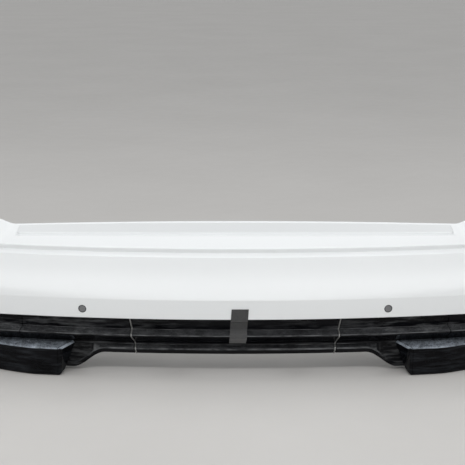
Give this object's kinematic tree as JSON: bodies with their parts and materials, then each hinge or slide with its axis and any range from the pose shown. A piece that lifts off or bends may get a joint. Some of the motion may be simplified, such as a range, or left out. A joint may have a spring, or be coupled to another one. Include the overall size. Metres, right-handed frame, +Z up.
{
  "type": "rear bumper cover",
  "caption": "Rear bumper cover assembly: painted skin with a stepped ledge, gloss-black valance and wings, access panel, parking sensors, crash beam and brackets.",
  "frame": {"origin": "bottom centre of the whole assembly's box: it stands on its two wings on the plane Z=0", "axes": "+X to the vehicle's right, +Y towards the front of the vehicle, +Z up; the visible rear face looks along -Y"},
  "size_m": [1.8064, 0.6942, 0.4075],
  "materials": {
    "white_paint": "gloss",
    "gloss_black": "gloss",
    "black_plastic": "matte",
    "black_rubber": "matte",
    "sensor_grey": "satin",
    "satin_silver": "satin",
    "red_reflector": "gloss",
    "coated_steel": "satin black coat",
    "zinc_steel": "zinc plated",
    "grey_foam": "matte"
  },
  "bodies": {
    "fixed_bumper": {"bumper_cover": "white_paint", "impact_beam": "coated_steel", "energy_absorber": "grey_foam", "upper_rail": "zinc_steel", "valance_left": "gloss_black", "corner_extension_left": "gloss_black", "wing_left": "gloss_black", "crash_box_left": "coated_steel", "mounting_plate_left": "coated_steel", "side_bracket_left": "black_plastic", "lower_stay_left": "zinc_steel", "reflector_lens_left": "red_reflector", "reflector_backing_left": "black_plastic", "clip_body_left_1": "black_plastic", "wing_screw_left_1": "zinc_steel", "clip_body_left_2": "black_plastic", "wing_screw_left_2": "zinc_steel", "plate_bolt_left_1": "zinc_steel", "plate_bolt_left_2": "zinc_steel", "plate_bolt_left_3": "zinc_steel", "plate_bolt_left_4": "zinc_steel", "valance_right": "gloss_black", "corner_extension_right": "gloss_black", "wing_right": "gloss_black", "crash_box_right": "coated_steel", "mounting_plate_right": "coated_steel", "side_bracket_right": "black_plastic", "lower_stay_right": "zinc_steel", "reflector_lens_right": "red_reflector", "reflector_backing_right": "black_plastic", "clip_body_right_1": "black_plastic", "wing_screw_right_1": "zinc_steel", "clip_body_right_2": "black_plastic", "wing_screw_right_2": "zinc_steel", "plate_bolt_right_1": "zinc_steel", "plate_bolt_right_2": "zinc_steel", "plate_bolt_right_3": "zinc_steel", "plate_bolt_right_4": "zinc_steel", "parking_sensor_1": "sensor_grey", "sensor_ring_1": "black_rubber", "sensor_holder_1": "black_plastic", "parking_sensor_2": "sensor_grey", "sensor_ring_2": "black_rubber", "sensor_holder_2": "black_plastic", "parking_sensor_3": "sensor_grey", "sensor_ring_3": "black_rubber", "sensor_holder_3": "black_plastic", "parking_sensor_4": "sensor_grey", "sensor_ring_4": "black_rubber", "sensor_holder_4": "black_plastic"},
    "access_panel": {"tow_access_panel": "gloss_black", "pull_strap": "black_rubber", "edge_strip_left": "satin_silver", "edge_strip_right": "satin_silver"},
    "quarter_turn_left": {"quarter_turn_left": "black_plastic"},
    "clip_pin_left_1": {"clip_pin_left_1": "black_plastic"},
    "clip_pin_left_2": {"clip_pin_left_2": "black_plastic"},
    "quarter_turn_right": {"quarter_turn_right": "black_plastic"},
    "clip_pin_right_1": {"clip_pin_right_1": "black_plastic"},
    "clip_pin_right_2": {"clip_pin_right_2": "black_plastic"}
  },
  "joints": [
    {"name": "access_panel_pull", "type": "slide", "parent": "fixed_bumper", "child": "access_panel", "axis": [0, -1, 0], "range_m": [0, 0.15]},
    {"name": "quarter_turn_left_turn", "type": "hinge", "parent": "access_panel", "child": "quarter_turn_left", "pos_m": [-0.15, -0.28942, 0.0557], "axis": [0, 0, 1], "range_deg": [0, 90]},
    {"name": "clip_pin_left_1_pull", "type": "slide", "parent": "fixed_bumper", "child": "clip_pin_left_1", "axis": [0, 0.8899, -0.4561], "range_m": [0, 0.008]},
    {"name": "clip_pin_left_2_pull", "type": "slide", "parent": "fixed_bumper", "child": "clip_pin_left_2", "axis": [0, 0.9997, 0.0224], "range_m": [0, 0.008]},
    {"name": "quarter_turn_right_turn", "type": "hinge", "parent": "access_panel", "child": "quarter_turn_right", "pos_m": [0.15, -0.28942, 0.0557], "axis": [0, 0, 1], "range_deg": [0, 90]},
    {"name": "clip_pin_right_1_pull", "type": "slide", "parent": "fixed_bumper", "child": "clip_pin_right_1", "axis": [0, 0.8899, -0.4561], "range_m": [0, 0.008]},
    {"name": "clip_pin_right_2_pull", "type": "slide", "parent": "fixed_bumper", "child": "clip_pin_right_2", "axis": [0, 0.9997, 0.0224], "range_m": [0, 0.008]}
  ]
}
